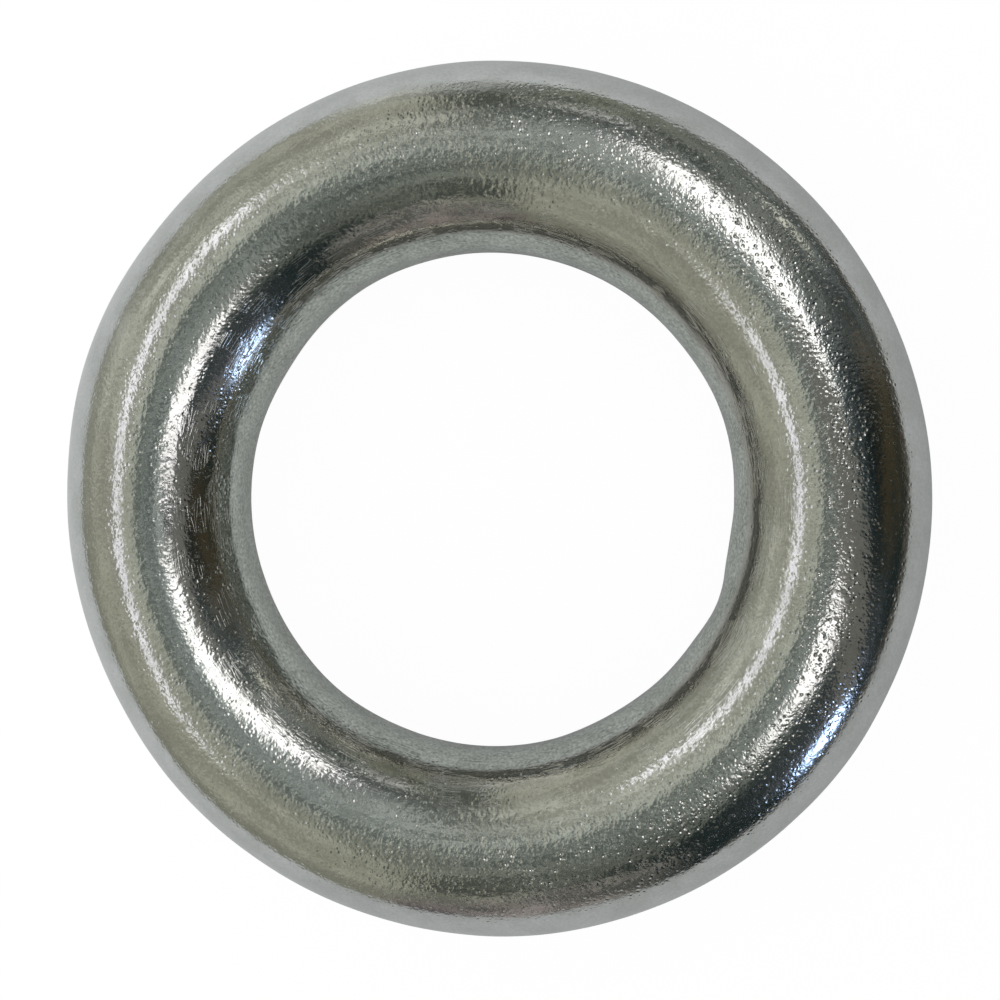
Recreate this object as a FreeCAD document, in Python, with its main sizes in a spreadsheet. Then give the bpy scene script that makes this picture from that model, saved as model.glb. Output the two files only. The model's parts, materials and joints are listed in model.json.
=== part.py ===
import FreeCAD, Part
import os
from math import atan2, pi, sqrt

import Sketcher
from FreeCAD import Vector

# A drop-forged rigging ring: one round bar with no end, closed on itself, that lies flat.
# The origin is the ring's own centre at half its height, and +Z is the axis through the bore.
# The bore and the bar are the two sizes that such a ring is sold by.
# The dies part at half height. Outside, the flash is dressed back to the round of the bar.
# Inside, the web is punched out, which leaves a narrow upright land all round the bore, and
# blasting has rounded the land's two edges into the round of the bar.
# All lengths are in millimetres.

# Driving sizes: alias, value, what it is.
SIZES = [
    ("bore_diameter", 50.8, "clear width of the hole, across the punched land"),
    ("bar_diameter", 19.05, "thickness of the round bar, and the height of the ring"),
    ("land_height", 2.2, "height of the flat part of the punched land"),
    ("land_edge_radius", 1.5, "rounding between the land and the round of the bar"),
]

FULL_TURN = 360
UPRIGHT = Vector(0, 0, 1)

# How a sketch counts the points of a line, from 1 up, and names its own axes.
START, END, MIDDLE = range(1, 4)
ACROSS_AXIS = -1
ORIGIN = (-1, START)


def make_sheet(doc):
    """The driving sizes, one row each: name, value and meaning."""
    sheet = doc.addObject("Spreadsheet::Sheet", "Sizes")
    for row, (alias, value, meaning) in enumerate(SIZES, start=1):
        sheet.set(f"A{row}", alias)
        sheet.set(f"B{row}", str(value))
        sheet.set(f"C{row}", meaning)
        sheet.setAlias(f"B{row}", alias)
    doc.recompute()
    return sheet


def origin_feature(body, role):
    """The body's own origin plane or axis that has this role."""
    return next(f for f in body.Origin.OriginFeatures if f.Role == role)


def bind(sketch, name, expression, constraint):
    """Adds one constraint under a name and ties its value to the sheet."""
    index = sketch.addConstraint(constraint)
    sketch.renameConstraint(index, name)
    sketch.setExpression(f"Constraints.{name}", expression)


def section_outline(bore_radius, bar_radius, land_half, edge_radius):
    """The bar's section, anticlockwise: the round, and the land between its two edges.

    Each edge touches the round from inside and runs into the land, so its centre is
    bar_radius - edge_radius from the bar's own centre, level with the end of the land.
    """
    drop = bar_radius - edge_radius
    inset = sqrt(drop**2 - land_half**2)
    turn = atan2(land_half, inset)
    centre = Vector(bore_radius + edge_radius + inset, 0, 0)
    above = centre + Vector(-inset, land_half, 0)
    below = centre + Vector(-inset, -land_half, 0)
    land_top = Vector(bore_radius, land_half, 0)
    land_foot = Vector(bore_radius, -land_half, 0)

    def arc(middle, radius, start_angle, end_angle):
        return Part.ArcOfCircle(Part.Circle(middle, UPRIGHT, radius), start_angle, end_angle)

    return {
        "round": arc(centre, bar_radius, turn - pi, pi - turn),
        "upper_edge": arc(above, edge_radius, pi - turn, pi),
        "land": Part.LineSegment(land_top, land_foot),
        "lower_edge": arc(below, edge_radius, pi, pi + turn),
    }


def draw_section(body, sheet):
    """The section to the right of the ring's axis, with every size tied to the sheet."""
    bore_radius = float(sheet.bore_diameter) / 2
    bar_radius = float(sheet.bar_diameter) / 2
    land_height = float(sheet.land_height)
    edge_radius = float(sheet.land_edge_radius)

    sketch = body.newObject("Sketcher::SketchObject", "BarSection")
    sketch.AttachmentSupport = [(origin_feature(body, "XZ_Plane"), "")]
    sketch.MapMode = "FlatFace"
    outline = section_outline(bore_radius, bar_radius, land_height / 2, edge_radius)
    line = {name: sketch.addGeometry(shape) for name, shape in outline.items()}

    # One smooth closed loop.
    order = list(line.values())
    for here, after in zip(order, order[1:] + order[:1]):
        sketch.addConstraint(Sketcher.Constraint("Tangent", here, END, after, START))

    # The same above and below half height.
    sketch.addConstraint(
        [
            Sketcher.Constraint("PointOnObject", line["round"], MIDDLE, ACROSS_AXIS),
            Sketcher.Constraint("Vertical", line["land"]),
            Sketcher.Constraint("Equal", line["upper_edge"], line["lower_edge"]),
        ]
    )

    # The sizes that drive it.
    bar = Sketcher.Constraint("Radius", line["round"], bar_radius)
    edge = Sketcher.Constraint("Radius", line["upper_edge"], edge_radius)
    land = Sketcher.Constraint("DistanceY", line["land"], END, line["land"], START, land_height)
    bore = Sketcher.Constraint("DistanceX", *ORIGIN, line["land"], START, bore_radius)
    bind(sketch, "bar_radius", "Sizes.bar_diameter / 2", bar)
    bind(sketch, "land_edge_radius", "Sizes.land_edge_radius", edge)
    bind(sketch, "land_height", "Sizes.land_height", land)
    bind(sketch, "bore_radius", "Sizes.bore_diameter / 2", bore)
    return sketch


def make_ring(doc, sheet):
    """The ring itself, a single forging: one full turn of the section about the bore's axis."""
    body = doc.addObject("PartDesign::Body", "Ring")
    body.Label = "ring"
    section = draw_section(body, sheet)
    bar = body.newObject("PartDesign::Revolution", "EndlessBar")
    bar.Profile = section
    bar.ReferenceAxis = (section, ["V_Axis"])
    bar.Angle = FULL_TURN
    section.Visibility = False
    body.Tip = bar
    doc.recompute()
    return body


def check(doc, bodies):
    """Stops before anything is written if an object failed or a body isn't one valid solid."""
    for item in doc.Objects:
        if "Invalid" in item.State or "Error" in item.State:
            raise RuntimeError(f"{item.Label} failed: {item.State}")
    for body in bodies:
        shape = body.Shape
        if shape.isNull() or not shape.isValid():
            raise RuntimeError(f"{body.Label} has no valid shape")
        if len(shape.Solids) != 1:
            raise RuntimeError(f"{body.Label} should be one solid, and has {len(shape.Solids)}")


def write(bodies):
    """One file for each body, named by its label."""
    os.makedirs("parts", exist_ok=True)
    for body in bodies:
        body.Shape.exportStep(f"parts/{body.Label}.step")
        box = body.Shape.optimalBoundingBox(False)
        size = f"{box.XLength:.2f} x {box.YLength:.2f} x {box.ZLength:.2f} mm"
        print(f"{body.Label}: {size}, {body.Shape.Volume:.0f} cubic mm")


def main():
    doc = FreeCAD.newDocument("RiggingRing")
    sheet = make_sheet(doc)
    bodies = [make_ring(doc, sheet)]
    check(doc, bodies)
    write(bodies)


main()
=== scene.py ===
# %% [markdown]
# # A forged rigging ring
#
# The object is a heavy ring of round steel bar, the kind that hooks, shackles and rope eyes are
# joined with. It was drop-forged, its bore was punched, and it was blasted and zinc plated.
# There is only one piece, so all the skill goes into two things: a form that is nearly a perfect
# torus but not quite, and a bright metal whose look is made by what stands around it.
#
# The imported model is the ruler. It is loaded first and never changed, and the finished ring
# takes its place, at the same size and in the same spot.

# %% Load the fixed frame
import json
import math

import bpy
from mathutils import Matrix, Vector


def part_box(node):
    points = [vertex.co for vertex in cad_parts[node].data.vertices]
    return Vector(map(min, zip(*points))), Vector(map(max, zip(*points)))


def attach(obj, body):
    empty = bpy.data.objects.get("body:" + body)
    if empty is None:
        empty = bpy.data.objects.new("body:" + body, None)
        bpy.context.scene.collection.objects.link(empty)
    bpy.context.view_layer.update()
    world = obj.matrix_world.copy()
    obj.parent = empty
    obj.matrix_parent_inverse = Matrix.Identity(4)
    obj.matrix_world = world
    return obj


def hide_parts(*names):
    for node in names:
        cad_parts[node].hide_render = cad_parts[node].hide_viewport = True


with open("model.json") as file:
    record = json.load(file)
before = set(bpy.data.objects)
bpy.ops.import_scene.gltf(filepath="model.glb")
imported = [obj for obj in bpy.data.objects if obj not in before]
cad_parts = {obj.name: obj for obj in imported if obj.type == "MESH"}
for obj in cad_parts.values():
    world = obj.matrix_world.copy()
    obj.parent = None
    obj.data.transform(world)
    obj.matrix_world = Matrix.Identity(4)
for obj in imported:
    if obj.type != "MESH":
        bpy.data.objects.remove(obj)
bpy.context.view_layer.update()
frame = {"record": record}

MM = 0.001
ring_low, ring_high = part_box("ring")
bore = next(m for m in frame["record"]["mounts"] if m["name"] == "bore")

bar_radius = (ring_high.z - ring_low.z) / 2
mean_radius = ring_high.x - bar_radius
bore_radius = bore["dims"]["r_mm"] * MM
land_half = bore["dims"]["length_mm"] * MM / 2
print(f"bar {2 * bar_radius / MM:.2f} mm thick, bore {2 * bore_radius / MM:.2f} mm wide")

# %% [markdown]
# ## The bar's section
#
# On the real ring this is the shape the two dies close on: a round, with a narrow upright land
# at the bore where the web was punched out. A torus primitive would give the round alone.
# Drawing the section first and turning it about the axis lets the land be made exactly, by
# pressing the innermost points of a circle flat against the bore.

# %% Draw the section
SECTION_POINTS = 156


def only(ob):
    """Makes ob the one selected and active object."""
    bpy.ops.object.select_all(action="DESELECT")
    ob.select_set(True)
    bpy.context.view_layer.objects.active = ob


def pick(ob, wanted):
    """In edit mode, selects the points whose place passes the test, and counts them."""
    bpy.ops.mesh.select_mode(type="VERT")
    bpy.ops.mesh.select_all(action="DESELECT")
    bpy.ops.object.mode_set(mode="OBJECT")
    found = [v for v in ob.data.vertices if wanted(v.co)]
    for v in found:
        v.select = True
    bpy.ops.object.mode_set(mode="EDIT")
    return len(found)


bpy.ops.object.select_all(action="DESELECT")
bpy.ops.mesh.primitive_circle_add(
    vertices=SECTION_POINTS,
    radius=bar_radius,
    location=(mean_radius, 0, 0),
    rotation=(math.radians(90), 0, 0),
)
ring = bpy.context.object
ring.name = "forged_ring"
bpy.ops.object.transform_apply(location=True, rotation=True, scale=True)

bpy.ops.object.mode_set(mode="EDIT")
pressed = pick(ring, lambda co: co.x < mean_radius and abs(co.z) < land_half)
bpy.ops.transform.resize(value=(0, 1, 1), center_override=(bore_radius, 0, 0))
bpy.ops.object.mode_set(mode="OBJECT")
print(f"{SECTION_POINTS} points round the bar, {pressed} of them on the land")

# %% [markdown]
# ## One full turn
#
# The bar has no end. Spinning the section in edit mode would do, but hundreds of steps take it
# half a minute. The Screw modifier, with no rise, sweeps the same full turn at once and joins the
# last step to the first. Its normals are then made to face outwards, because a sweep can leave
# them facing in. The steps are as fine as a piece's triangles allow, so that the unevenness that
# comes next is real shape.

# %% Turn the section about the bore
TURN_STEPS = 640


def finish_with(ob, kind, name, **settings):
    """Adds a modifier, sets it up and applies it."""
    only(ob)
    modifier = ob.modifiers.new(name, kind)
    for key, value in settings.items():
        setattr(modifier, key, value)
    bpy.ops.object.modifier_apply(modifier=modifier.name)


finish_with(
    ring,
    "SCREW",
    "full_turn",
    axis="Z",
    angle=math.tau,
    screw_offset=0,
    steps=TURN_STEPS,
    render_steps=TURN_STEPS,
)
bpy.ops.object.mode_set(mode="EDIT")
bpy.ops.mesh.select_all(action="SELECT")
bpy.ops.mesh.normals_make_consistent(inside=False)
bpy.ops.object.mode_set(mode="OBJECT")
bpy.ops.object.shade_smooth()
print(f"{len(ring.data.vertices)} points, {2 * len(ring.data.polygons)} triangles")

# %% [markdown]
# ## Where the forging is out of true
#
# Both edges of the ring wander by a few tenths of a millimetre: a fuller place at the upper left,
# thin places beside it, and a kink in the bore at the lower right, where the punch broke out.
# A modifier could roughen the ring anywhere, but these have known places, so they are pushed
# in or out one by one, each from one spot with the neighbours following.

# %% Push the uneven places
OUTSIDE, BORE = 0, 180
PICK_REACH = 0.5
# Azimuth on the ring in degrees, side of the bar, height in mm (plus is more metal), reach in mm.
UNEVEN_PLACES = [
    (159, OUTSIDE, 0.36, 17),
    (205, OUTSIDE, -0.19, 20),
    (276, OUTSIDE, 0.10, 14),
    (325, OUTSIDE, 0.11, 8),
    (22, BORE, -0.16, 8),
    (119, BORE, -0.11, 7),
    (147, BORE, 0.22, 8),
    (232, BORE, -0.16, 8),
    (300, BORE, 0.13, 7),
    (336, BORE, -0.30, 4.5),
    (350, BORE, 0.26, 4),
    (359, BORE, 0.14, 4.5),
]


def spot(azimuth, round_bar):
    """The point of the ring's surface at an azimuth and at an angle round the bar, in degrees."""
    a, b = math.radians(azimuth), math.radians(round_bar)
    reach = mean_radius + bar_radius * math.cos(b)
    return Vector((reach * math.cos(a), reach * math.sin(a), bar_radius * math.sin(b)))


for azimuth, side, height, reach in UNEVEN_PLACES:
    at = spot(azimuth, side)
    outwards = (at - spot(azimuth, side + 180)).normalized()
    bpy.ops.object.mode_set(mode="EDIT")
    pick(ring, lambda co: (co - at).length < PICK_REACH * MM)
    bpy.ops.transform.translate(
        value=outwards * height * MM,
        use_proportional_edit=True,
        proportional_edit_falloff="SMOOTH",
        proportional_size=reach * MM,
    )
    bpy.ops.object.mode_set(mode="OBJECT")
    print(f"azimuth {azimuth}: {height:+.2f} mm")

# %% [markdown]
# ## The burr of the punch
#
# Along the left of the bore the punch has left a low burr just above the wall, so that the wall
# starts with a crisp edge there. It is highest in the middle of its stretch. A burr could be a
# thin bead of its own, but it is one steel with the ring and flows out of it. So three arcs of
# points, each inside the last, are drawn a little towards the axis with their neighbours.

# %% Raise the burr
# Angle round the bar in degrees, reach in mm, how near to its line a point has to be in mm.
BURR_SIDE, BURR_REACH, BURR_LINE = 161, 2.0, 0.25
# From and to azimuth in degrees, height in mm.
BURR_ARCS = [(92, 252, 0.05), (154, 216, 0.06), (168, 208, 0.06)]

at = spot(0, BURR_SIDE)
for start, end, height in BURR_ARCS:

    def on_arc(co):
        """Whether a point lies on this arc of the burr."""
        near = (Vector((math.hypot(co.x, co.y), 0, co.z)) - at).length < BURR_LINE * MM
        return near and start < math.degrees(math.atan2(co.y, co.x)) % 360 < end

    bpy.ops.object.mode_set(mode="EDIT")
    count = pick(ring, on_arc)
    inwards = 1 - height * MM / at.x
    bpy.ops.transform.resize(
        value=(inwards, inwards, 1),
        center_override=(0, 0, at.z),
        use_proportional_edit=True,
        proportional_edit_falloff="SMOOTH",
        proportional_size=BURR_REACH * MM,
    )
    bpy.ops.object.mode_set(mode="OBJECT")
    print(f"{count} points of the burr drawn in by {height} mm")

# %% [markdown]
# ## The skin left by the dies
#
# Dies wear, and scale is hammered into the hot bar, so the whole skin waves a little. The waves
# are too low to see as shape, but they bend every reflected edge. They are real shape here too:
# a Displace modifier moves the points along their normals, once by waves about a centimetre long
# and once by short ripples. What is finer than the mesh waits for the material.

# %% Wave the skin
# Name, length of a wave in mm, height in mm.
WAVES = [("die_wear", 11.0, 0.09), ("hammered_scale", 2.6, 0.014)]

for name, length, height in WAVES:
    clouds = bpy.data.textures.new(name, "CLOUDS")
    clouds.noise_scale = length * MM
    clouds.noise_depth = 1
    finish_with(ring, "DISPLACE", name, texture=clouds, strength=height * MM, mid_level=0.5)

size = ring.dimensions / MM
print(f"the ring is now {size.x:.2f} x {size.y:.2f} x {size.z:.2f} mm")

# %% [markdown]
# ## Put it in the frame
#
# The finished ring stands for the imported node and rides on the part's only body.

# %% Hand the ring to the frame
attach(ring, "root")
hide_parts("ring")
print("forged_ring rides on root")

# %% [markdown]
# ## Bright zinc: what the nodes are given
#
# A thin bright zinc plate copies the steel under it, so its finish is nearly a mirror, roughened
# by the blasting before it. A material that is one even metal would look like a glass bead.
# Everything below is worked out from the Object coordinates, in metres, so it stays on the metal
# when the ring turns. Two measures are taken from them: how far a point is from the axis, and how
# high it is.

# %% Start the zinc
def add(tree, kind, inputs=None, **settings):
    """Adds a node, sets it up and fills its inputs with numbers or with other nodes' outputs."""
    made = tree.nodes.new(kind)
    for key, value in settings.items():
        setattr(made, key, value)
    for slot, value in (inputs or {}).items():
        if isinstance(value, bpy.types.NodeSocket):
            tree.links.new(value, made.inputs[slot])
        else:
            made.inputs[slot].default_value = value
    return made


def calculate(tree, operation, *values):
    """A Math node's result."""
    return add(tree, "ShaderNodeMath", dict(enumerate(values)), operation=operation).outputs[0]


def ramp(tree, value, low, high, to_low=0.0, to_high=1.0):
    """Goes smoothly from to_low to to_high while value goes from low to high."""
    inputs = {"Value": value, 1: low, 2: high, 3: to_low, 4: to_high}
    made = add(tree, "ShaderNodeMapRange", inputs, interpolation_type="SMOOTHSTEP")
    return made.outputs["Result"]


def noise(tree, where, length, detail=0.0, roughness=0.5):
    """Cloudy noise from 0 to 1, whose lumps are about as long as length, in mm."""
    inputs = {"Vector": where, "Scale": 1 / (length * MM), "Detail": detail}
    inputs["Roughness"] = roughness
    return add(tree, "ShaderNodeTexNoise", inputs).outputs["Fac"]


zinc = bpy.data.materials.new("bright_zinc")
zinc.use_nodes = True
nodes = zinc.node_tree
metal = nodes.nodes["Principled BSDF"]
metal.inputs["Metallic"].default_value = 1.0

place = add(nodes, "ShaderNodeTexCoord").outputs["Object"]
flat = add(nodes, "ShaderNodeVectorMath", {0: place, 1: (1, 1, 0)}, operation="MULTIPLY")
from_axis = add(nodes, "ShaderNodeVectorMath", {0: flat.outputs[0]}, operation="LENGTH")
from_axis = from_axis.outputs["Value"]
along = add(nodes, "ShaderNodeSeparateXYZ", {0: place}).outputs
height = along["Z"]
print(f"{len(nodes.nodes)} nodes so far")

# %% [markdown]
# ## Blasted grain
#
# Seen close, the skin is a field of tiny dents, a quarter to half a millimetre wide, each of them
# a little mirror. Most are shallow and a few are deep: it is the deep ones that catch a lamp in
# the middle of something dark. All this is far finer than any mesh, so it is bump, and every
# height is in metres. Voronoi cells place the dents, each cell's random colour says how deep its
# dent is, and a power of it makes the deep ones rare. Between the dents the skin rolls gently.
#
# The grain is not the same everywhere. The wall of the bore and the outer flank, which the shot
# struck at a slant, are smoother than the crown, and there the skin rolls less too. The right of
# the crown is rougher than the left. Inside the crown it is the right that is smooth, and the left
# gets rougher towards the bottom. Last, the strength comes and goes in patches. Each of these is
# a ramp from one share of the strength to another, and they multiply.

# %% Grain
# Length and height of the gentle roll, in mm.
ROLL_LENGTH, ROLL_HEIGHT = 0.6, 0.032
# Width of a cell in mm, depth of the deepest dent in mm, power that makes the deep ones rare.
DENTS = [(0.42, 0.045, 2.6), (0.22, 0.012, 1.6)]
# Radius of a dent, as a share of its cell's width.
DENT_REACH = 0.6
# Share of the full strength in each region.
FLANK_DENTS, FLANK_ROLL = 0.18, 0.4
WALL_DENTS, WALL_ROLL = 0.3, 0.25
RIGHT_INSIDE, RIGHT_CROWN = 0.35, 1.5
LEFT_BOTTOM, LEFT_TOP, LEFT_CROWN = 1.5, 0.6, 0.65
# Length of a patch in mm, and the shares in a smooth one and in a rough one.
PATCH_LENGTH, PATCH_SMOOTH, PATCH_ROUGH = 7.0, 0.65, 1.2


def cells(tree, where, width, **settings):
    """Voronoi cells about as wide as width, in mm. Returns the distance and colour outputs."""
    inputs = {"Vector": where, "Scale": 1 / (width * MM)}
    return add(tree, "ShaderNodeTexVoronoi", inputs, **settings).outputs


outer_edges = mean_radius + 0.15 * bar_radius, mean_radius + 0.95 * bar_radius
crown_edges = mean_radius - 0.5 * bar_radius, mean_radius + 0.1 * bar_radius
wall_edges = bore_radius + 0.4 * MM, bore_radius + 1.4 * MM
left_edges = bore_radius + 3.2 * MM, bore_radius + 5.2 * MM
outside = ramp(nodes, from_axis, *outer_edges, 1.0, FLANK_DENTS)
wall = ramp(nodes, from_axis, *wall_edges, WALL_DENTS, 1.0)
upwards = -0.2 * mean_radius, 0.6 * mean_radius
left_inside = ramp(nodes, along["Y"], *upwards, LEFT_BOTTOM, LEFT_TOP)
left = ramp(nodes, from_axis, *left_edges, left_inside, LEFT_CROWN)
right = ramp(nodes, from_axis, *crown_edges, RIGHT_INSIDE, RIGHT_CROWN)
sides = ramp(nodes, along["X"], -0.6 * mean_radius, 0.25 * mean_radius, left, right)
patches = noise(nodes, place, PATCH_LENGTH, 1.0)
patches = ramp(nodes, patches, 0.3, 0.7, PATCH_SMOOTH, PATCH_ROUGH)
strength = calculate(nodes, "MULTIPLY", calculate(nodes, "MULTIPLY", outside, wall), patches)
strength = calculate(nodes, "MULTIPLY", strength, sides)

roll = calculate(nodes, "SUBTRACT", noise(nodes, place, ROLL_LENGTH, 1.0), 0.5)
calm = ramp(nodes, from_axis, bore_radius + 1.5 * MM, bore_radius + 6 * MM, WALL_ROLL, 1.0)
flank = ramp(nodes, from_axis, *outer_edges, 1.0, FLANK_ROLL)
calm = calculate(nodes, "MULTIPLY", calm, flank)
relief = calculate(nodes, "MULTIPLY", roll, calculate(nodes, "MULTIPLY", calm, ROLL_HEIGHT * MM))
for width, depth, rareness in DENTS:
    cell = cells(nodes, place, width)
    chance = add(nodes, "ShaderNodeSeparateColor", {0: cell["Color"]}).outputs["Green"]
    deep = calculate(nodes, "MULTIPLY", calculate(nodes, "POWER", chance, rareness), strength)
    bowl = ramp(nodes, cell["Distance"], 0.0, DENT_REACH, 1.0, 0.0)
    dent = calculate(nodes, "MULTIPLY", bowl, calculate(nodes, "MULTIPLY", deep, -depth * MM))
    relief = calculate(nodes, "ADD", relief, dent)
print(f"{len(nodes.nodes)} nodes with the grain")

# %% [markdown]
# ## Drag marks
#
# Hooks and the punch have left fine lines that run round the ring on its inner side. A noise that
# is stretched round the ring gives long thin clouds, and the lines are its contours: the places
# where it passes through its middle value. The direction from the axis takes the place of an
# angle, so that there is no seam. A second noise breaks the lines into short pieces. Two sets of
# them slant against each other.

# %% Drag marks
# Width of a cloud, depth of a line and length of its pieces, in mm.
DRAG_WIDTH, DRAG_DEPTH, PIECE_LENGTH = 0.35, 0.009, 2.5
# How many times longer than wide the clouds are, and how much they climb.
DRAG_SETS = [(16, 0.5), (11, -0.8)]

outwards = add(nodes, "ShaderNodeVectorMath", {0: flat.outputs[0]}, operation="NORMALIZE")
dragged = 0.0
for longer, climb in DRAG_SETS:
    inputs = {0: outwards.outputs[0], "Scale": mean_radius / longer}
    turned = add(nodes, "ShaderNodeVectorMath", inputs, operation="SCALE")
    turned = add(nodes, "ShaderNodeSeparateXYZ", {0: turned.outputs[0]}).outputs
    climbing = calculate(nodes, "ADD", height, calculate(nodes, "MULTIPLY", turned["Y"], climb))
    inputs = {"X": turned["X"], "Y": turned["Y"], "Z": climbing}
    around = add(nodes, "ShaderNodeCombineXYZ", inputs).outputs[0]
    inputs = {"Vector": around, "W": from_axis, "Scale": 1 / (DRAG_WIDTH * MM), "Detail": 0.0}
    clouds = add(nodes, "ShaderNodeTexNoise", inputs, noise_dimensions="4D").outputs["Fac"]
    contour = calculate(nodes, "ABSOLUTE", calculate(nodes, "SUBTRACT", clouds, 0.5))
    contour = ramp(nodes, contour, 0.0, 0.05, 1.0, 0.0)
    pieces = ramp(nodes, noise(nodes, place, PIECE_LENGTH), 0.5, 0.55)
    dragged = calculate(nodes, "ADD", dragged, calculate(nodes, "MULTIPLY", contour, pieces))
inner_edges = mean_radius - 0.75 * bar_radius, mean_radius - 0.25 * bar_radius
deep = ramp(nodes, from_axis, *inner_edges, -DRAG_DEPTH * MM, 0.0)
relief = calculate(nodes, "ADD", relief, calculate(nodes, "MULTIPLY", dragged, deep))
print(f"{len(nodes.nodes)} nodes with the drag marks")

# %% [markdown]
# ## Colour, gloss and relief together
#
# Plated zinc is a pale grey, a little duller and greener where the plate is thicker. The gloss
# changes with it. The wall of the bore is a touch greener. The shoulder above it is painted warmer
# and darker: a painted shade. The whole skin is finely speckled, most of all in the bore, where the
# punch tore the steel. All heights go through one Bump node, so that they are real heights in
# metres on one skin.

# %% Join the zinc
ZINC_PALE = (0.65, 0.66, 0.64, 1)
ZINC_DULL = (0.58, 0.59, 0.565, 1)
WALL_TINT = (1.0, 1.03, 0.98, 1)
# The shoulder's warmer, darker tint is a painted shade.
SHOULDER_SHADE_TINT = (0.97, 0.93, 0.87, 1)
PLAIN = (1, 1, 1, 1)
# Length of a blotch in mm, and the roughness where the zinc is glossiest and dullest.
BLOTCH_LENGTH, GLOSSIEST, DULLEST = 4.0, 0.12, 0.16
# Length of a speckle in mm, and how strong the speckle is outside the bore and in it.
SPECKLE_LENGTH, SPECKLE, BORE_SPECKLE = 0.3, 0.35, 1.3


def blend(tree, factor, first, second):
    """A colour that goes from first to second. Each is a colour or another node's output."""
    inputs = {"Factor": factor, "A": first, "B": second}
    return add(tree, "ShaderNodeMix", inputs, data_type="RGBA").outputs["Result"]


blotch = noise(nodes, place, BLOTCH_LENGTH, 3.0, 0.6)
tone = blend(nodes, ramp(nodes, blotch, 0.35, 0.65), ZINC_PALE, ZINC_DULL)
bore_edges = bore_radius + 1.1 * MM, bore_radius + 1.6 * MM
# The shoulder above the bore's wall gets the painted shade.
shoulder_shade_edges = bore_radius + 1.8 * MM, bore_radius + 3.4 * MM
tint = blend(nodes, ramp(nodes, from_axis, *shoulder_shade_edges), SHOULDER_SHADE_TINT, PLAIN)
tint = blend(nodes, ramp(nodes, from_axis, *bore_edges), WALL_TINT, tint)
tone = add(nodes, "ShaderNodeVectorMath", {0: tone, 1: tint}, operation="MULTIPLY").outputs[0]
speckle = calculate(nodes, "SUBTRACT", noise(nodes, place, SPECKLE_LENGTH, 1.0), 0.5)
amount = ramp(nodes, from_axis, *bore_edges, BORE_SPECKLE, SPECKLE)
speckle = calculate(nodes, "MULTIPLY_ADD", speckle, amount, 1.0)
inputs = {0: tone, "Scale": speckle}
tone = add(nodes, "ShaderNodeVectorMath", inputs, operation="SCALE").outputs[0]
nodes.links.new(tone, metal.inputs["Base Color"])
gloss = ramp(nodes, blotch, 0.3, 0.7, GLOSSIEST, DULLEST)
nodes.links.new(gloss, metal.inputs["Roughness"])

bump = add(nodes, "ShaderNodeBump", {"Height": relief, "Distance": 1.0, "Strength": 1.0})
nodes.links.new(bump.outputs["Normal"], metal.inputs["Normal"])

ring.data.materials.clear()
ring.data.materials.append(zinc)
print(f"bright_zinc has {len(nodes.nodes)} nodes")

# %% [markdown]
# ## The table
#
# The ring lies on white board. The metal must see it as board in daylight, because the pale rims
# of the ring are its mirror image, but the camera sees it as plain white paper with the ring's
# soft shadow. The Light Path node tells the two apart: a camera ray gets mostly a white glow, and
# any other ray gets mostly the board. The board is a little brighter at the upper left, where the
# rims mirror a pool of light, and where it is mirrored twice it is darker: a painted shade, as in
# the room further on.

# %% Lay the table
WHITE = (1, 1, 1, 1)
TABLE_HALF = 1.5
BOARD_COLOUR = (0.67, 0.705, 0.71)
# How bright the pool of light is, how it slants, and what the painted shade leaves of the board
# mirrored twice.
POOL_LIGHT, POOL_SLANT, TABLE_TWICE_SHADE = 1.25, -0.4, 0.6
# How much of the glow the camera and the metal see, and how bright it is.
SEEN_GLOW, MIRRORED_GLOW, GLOW = 0.94, 0.04, 1.03
ring_foot = min(v.co.z for v in ring.data.vertices)

bpy.ops.object.select_all(action="DESELECT")
bpy.ops.mesh.primitive_plane_add(size=2 * TABLE_HALF, location=(0, 0, ring_foot))
table = bpy.context.object
table.name = "table"

board = bpy.data.materials.new("white_board")
board.use_nodes = True
nodes = board.node_tree
nodes.nodes.clear()
path = add(nodes, "ShaderNodeLightPath").outputs
# Mirrored twice, the board is darker: a painted shade.
board_twice_shade = ramp(nodes, path["Glossy Depth"], 1.0, 2.0, 1.0, TABLE_TWICE_SHADE)
place = add(nodes, "ShaderNodeTexCoord").outputs["Object"]
along = add(nodes, "ShaderNodeSeparateXYZ", {0: place}).outputs
from_left = calculate(nodes, "MULTIPLY_ADD", along["Y"], POOL_SLANT, along["X"])
pool = ramp(nodes, from_left, -2 * mean_radius, 0.3 * mean_radius, POOL_LIGHT, 1.0)
lit = calculate(nodes, "MULTIPLY", board_twice_shade, pool)
paper = add(nodes, "ShaderNodeVectorMath", {0: BOARD_COLOUR, "Scale": lit}, operation="SCALE")
paper = add(nodes, "ShaderNodeBsdfDiffuse", {"Color": paper.outputs[0]})
inputs = {"Color": WHITE, "Strength": calculate(nodes, "MULTIPLY", board_twice_shade, GLOW)}
glow = add(nodes, "ShaderNodeEmission", inputs)
seen = calculate(nodes, "MAXIMUM", path["Is Camera Ray"], path["Is Transmission Ray"])
seen = calculate(nodes, "MULTIPLY", seen, SEEN_GLOW)
mirrored = calculate(nodes, "MULTIPLY", path["Is Glossy Ray"], MIRRORED_GLOW)
share = calculate(nodes, "ADD", seen, mirrored)
mixed = {0: share, 1: paper.outputs[0], 2: glow.outputs[0]}
mixed = add(nodes, "ShaderNodeMixShader", mixed)
add(nodes, "ShaderNodeOutputMaterial", {"Surface": mixed.outputs[0]})
table.data.materials.append(board)
print(f"the table is at {ring_foot / MM:.2f} mm")
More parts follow.
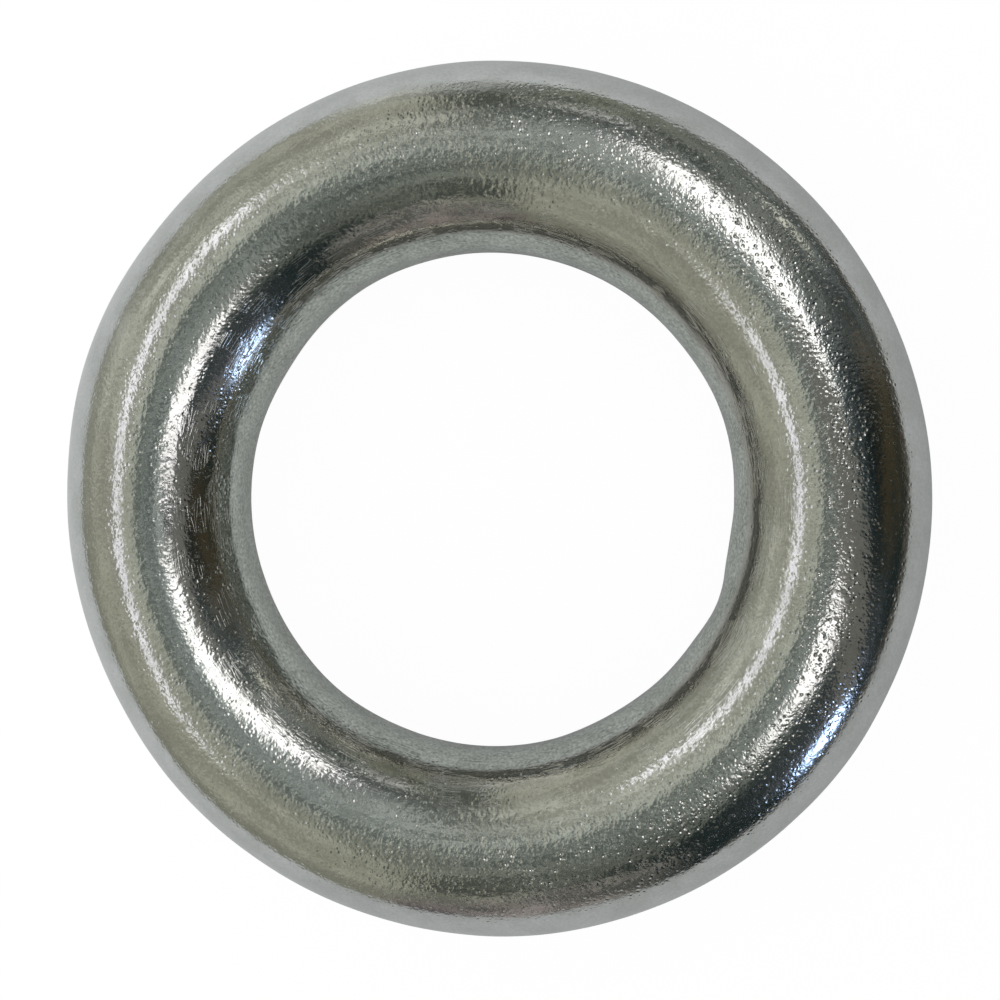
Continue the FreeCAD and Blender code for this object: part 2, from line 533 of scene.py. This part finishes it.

# %% [markdown]
# ## The room in the metal
#
# A mirror has no look of its own: all that is seen on this ring is the room round it. On its left
# stood a big khaki wall, on its right the room was dark, and a bluish window was low in one
# corner. These are far away, so they are painted on the world, each as a round glow in one
# direction, and all the glows are added up. In the east one round patch of it all is dimmed. A
# real ceiling is broken up by beams and by things that hang there, and it is this that makes every
# dent sparkle, so all but the wall and the window are mottled with a noise.
#
# The metal alone sees this room. The table gets a soft daylight, twice as strong from the wall's
# side as from the dark one, and the camera gets plain white. What is mirrored twice, once on each
# side of the bore, is dimmed: this painted shade is the dark line round the bore. The Light Path
# node tells all these rays apart, which works only if no light is sampled from the world
# beforehand.

# %% Paint the room
# Name, azimuth and angle from straight up in degrees, radius and softness in degrees, colour.
ROOM = [
    ("khaki_wall", 178, 85, 72, 3, (0.25, 0.24, 0.19)),
    ("wall_side", 102, 85, 74, 16, (0.12, 0.125, 0.125)),
    ("wall_glow", 199, 28, 53, 9, (0.125, 0.125, 0.1)),
    ("pale_ceiling", 20, 8, 8, 49, (0.185, 0.225, 0.245)),
    ("north_side", 98, 91, 7, 60, (0.135, 0.12, 0.01)),
    ("north_low", 105, 90, 16, 6, (0.1, 0.105, 0.145)),
    ("north_east", 50, 45, 12, 8, (0.13, 0.125, 0.1)),
    ("mauve_curtain", -88, 75, 19, 3, (0.2, 0.18, 0.16)),
    ("south_low", -98, 90, 16, 6, (0.045, 0.025, 0.035)),
    ("window", -40, 80, 5.2, 1.8, (2.9, 3.9, 6.0)),
    ("window_glow", -36, 66, 7, 20, (0.19, 0.18, 0.2)),
    ("far_lamp_north", 82, 62, 3, 5, (1.3, 1.25, 1.25)),
    ("far_lamp_north_east", 47, 71, 3.5, 4, (0.75, 0.72, 0.6)),
    ("brown_east", 9, 72, 19, 3, (0.035, 0.02, 0.005)),
]
DARK_ROOM = (0.015, 0.025, 0.025)
EVEN = ("khaki_wall", "window")
# How fine the mottle is, and what it leaves of the light in a dark place and in a bright one.
MOTTLE_SCALE, MOTTLE_DARK, MOTTLE_BRIGHT = 7.0, 0.4, 1.6
DAYLIGHT = (0.64, 0.63, 0.625, 1)
# Strength of the daylight from the wall's side and from the dark side, azimuth of the dark side.
WALL_SIDE, DARK_SIDE, DARK_AZIMUTH = 1.3, 0.65, 25
# What is left of the room mirrored twice, dimmed as a painted shade.
TWICE_MIRRORED_SHADE = 0.45
# Azimuth and angle from straight up in degrees, radius and softness in degrees, what is left.
DARK_EAST = (12, 48, 16, 14, 0.5)


def direction(azimuth, from_up):
    """The unit vector at an azimuth and at an angle from straight up, in degrees."""
    a, p = math.radians(azimuth), math.radians(from_up)
    return Vector((math.sin(p) * math.cos(a), math.sin(p) * math.sin(a), math.cos(p)))


world = bpy.data.worlds.new("room")
bpy.context.scene.world = world
world.use_nodes = True
nodes = world.node_tree
nodes.nodes.clear()
ray = add(nodes, "ShaderNodeTexCoord").outputs["Generated"]
ray = add(nodes, "ShaderNodeVectorMath", {0: ray}, operation="NORMALIZE").outputs[0]
light = add(nodes, "ShaderNodeCombineXYZ", dict(enumerate(DARK_ROOM))).outputs[0]
inputs = {"Vector": ray, "Scale": MOTTLE_SCALE, "Detail": 1.0}
mottle = add(nodes, "ShaderNodeTexNoise", inputs).outputs["Fac"]
mottle = ramp(nodes, mottle, 0.42, 0.58, MOTTLE_DARK, MOTTLE_BRIGHT)


def disc(tree, ray, azimuth, from_up, radius, softness, inside=1.0, outside=0.0, label=""):
    """A value that is inside in a round patch of the room, and outside elsewhere."""
    inputs = {0: ray, 1: direction(azimuth, from_up)}
    facing = add(tree, "ShaderNodeVectorMath", inputs, operation="DOT_PRODUCT", label=label)
    away = calculate(tree, "ARCCOSINE", calculate(tree, "MINIMUM", facing.outputs["Value"], 1.0))
    edges = math.radians(radius - softness), math.radians(radius + softness)
    return ramp(tree, away, *edges, inside, outside)


for name, azimuth, from_up, radius, softness, colour in ROOM:
    inside = disc(nodes, ray, azimuth, from_up, radius, softness, label=name)
    if name not in EVEN:
        inside = calculate(nodes, "MULTIPLY", inside, mottle)
    inputs = {0: colour, "Scale": inside}
    part = add(nodes, "ShaderNodeVectorMath", inputs, operation="SCALE").outputs[0]
    light = add(nodes, "ShaderNodeVectorMath", {0: light, 1: part}, operation="ADD").outputs[0]
path = add(nodes, "ShaderNodeLightPath").outputs
# What is mirrored twice is dimmed: a painted shade, the dark line round the bore.
room_twice_shade = ramp(nodes, path["Glossy Depth"], 1.0, 2.0, 1.0, TWICE_MIRRORED_SHADE)
hidden = disc(nodes, ray, *DARK_EAST, 1.0)
strength = calculate(nodes, "MULTIPLY", room_twice_shade, hidden)
room = add(nodes, "ShaderNodeBackground", {"Color": light, "Strength": strength})
inputs = {0: ray, 1: direction(DARK_AZIMUTH, 90)}
across = add(nodes, "ShaderNodeVectorMath", inputs, operation="DOT_PRODUCT").outputs["Value"]
lean = ramp(nodes, across, -1.0, 1.0, WALL_SIDE, DARK_SIDE)
daylight = add(nodes, "ShaderNodeBackground", {"Color": DAYLIGHT, "Strength": lean})
plain = add(nodes, "ShaderNodeBackground", {"Color": WHITE, "Strength": 1.0})
mixed = {0: path["Is Diffuse Ray"], 1: room.outputs[0], 2: daylight.outputs[0]}
mixed = add(nodes, "ShaderNodeMixShader", mixed)
mixed = {0: path["Is Camera Ray"], 1: mixed.outputs[0], 2: plain.outputs[0]}
mixed = add(nodes, "ShaderNodeMixShader", mixed)
add(nodes, "ShaderNodeOutputWorld", {"Surface": mixed.outputs[0]})
world.cycles.sampling_method = "NONE"
print(f"the room has {len(ROOM)} glows")

# %% [markdown]
# ## Lamps close above
#
# The lamps hang so near that the left and the right of the ring see them in different places, so
# they can't be painted on the world. Area lamps do this well: the metal mirrors each one as a
# bright panel of its own size. A lamp's power is spread over its area, so the power is worked out
# from how bright the panel has to look.

# %% Hang the lamps
# Name, centre and size in mm, turn in degrees, colour of the panel as the metal should see it.
LAMPS = [
    ("strip_lamp", (-347, 28, 469), (100, 484), -4.5, (0.86, 0.83, 0.98)),
    ("north_lamp", (102, 160, 317), (94, 270), -2.8, (1.8, 1.72, 1.74)),
    ("south_lamp", (179, -111, 409), (152, 144), 6.8, (1.72, 1.63, 1.66)),
]


def hang_lamp(name, centre, size, turn, colour):
    """Hangs a panel that shines down, as bright as its colour says."""
    data = bpy.data.lights.new(name, "AREA")
    data.shape = "RECTANGLE"
    data.size, data.size_y = [length * MM for length in size]
    brightness = max(colour)
    data.color = [part / brightness for part in colour]
    data.energy = math.pi * data.size * data.size_y * brightness
    lamp = bpy.data.objects.new(name, data)
    bpy.context.scene.collection.objects.link(lamp)
    lamp.location = Vector(centre) * MM
    lamp.rotation_euler.z = math.radians(turn)
    lamp.visible_camera = False


for row in LAMPS:
    hang_lamp(*row)
print(f"{len(LAMPS)} lamps")

# %% [markdown]
# ## Two cards
#
# Close to the ring something leans in and hides part of the ceiling, and on the right a dark card
# lies flat on the table. These could be glows in the world too, but they are so near that each side
# of the ring sees them elsewhere, as with the lamps. The first is a brown-grey card and the second
# a dark one, and the camera sees neither. The dark card lies right on the board and must not darken
# it, so diffuse and shadow rays pass through that card.

# %% Set up the cards
# Name, centre and size in mm, turn in degrees, colour.
CARDS = [
    ("leaning_shade", (204, -108, 105), (432, 39), -37.6, (0.4, 0.38, 0.34, 1)),
    # The right of the table is darker to the metal: a dark card lies flat there.
    ("dark_flat_card", (825, 0, -9.2), (1360, 3000), 0, (0.12, 0.11, 0.09, 1)),
]

for name, centre, size, turn, colour in CARDS:
    bpy.ops.object.select_all(action="DESELECT")
    bpy.ops.mesh.primitive_plane_add(size=1, location=Vector(centre) * MM)
    made = bpy.context.object
    made.name = name
    made.scale = (size[0] * MM, size[1] * MM, 1)
    made.rotation_euler.z = math.radians(turn)
    made.visible_camera = False
    made.visible_diffuse = made.visible_shadow = name != "dark_flat_card"
    material = bpy.data.materials.new(name)
    material.use_nodes = True
    tree = material.node_tree
    tree.nodes.clear()
    shader = add(tree, "ShaderNodeBsdfDiffuse", {"Color": colour})
    add(tree, "ShaderNodeOutputMaterial", {"Surface": shader.outputs[0]})
    made.data.materials.append(material)
print(f"{len(CARDS)} cards")

# %% [markdown]
# ## The camera
#
# The picture is taken nearly straight down and from only sixteen centimetres, so the near crown
# looks larger than it is and one side of the bore's wall shows. The place of the camera and the
# length of its lens follow from the two outlines of the ring, which a tilt moves differently.

# %% Set up the camera
EYE = Vector((29.03, 5.40, 163.06)) * MM
AIM = Vector((1.59, 0.11, 0.0)) * MM
LENS = 58.36

data = bpy.data.cameras.new("camera")
data.lens = LENS
data.sensor_width = 36
data.clip_start = 0.01
camera = bpy.data.objects.new("camera", data)
bpy.context.scene.collection.objects.link(camera)
forward = (AIM - EYE).normalized()
right = forward.cross(Vector((0, 1, 0))).normalized()
turned = Matrix((right, right.cross(forward), -forward)).transposed()
camera.matrix_world = Matrix.Translation(EYE) @ turned.to_4x4()
bpy.context.scene.camera = camera
bpy.context.scene.view_settings.view_transform = "Standard"
print(f"the camera is {(EYE - AIM).length / MM:.0f} mm away")

# %% [markdown]
# ## Bring the scene up to date
#
# The last step updates the view layer. The visual model's box differs from the imported model's
# by no more than the uneven places and the waves of the skin.

# %% Update the view layer
bpy.context.view_layer.update()
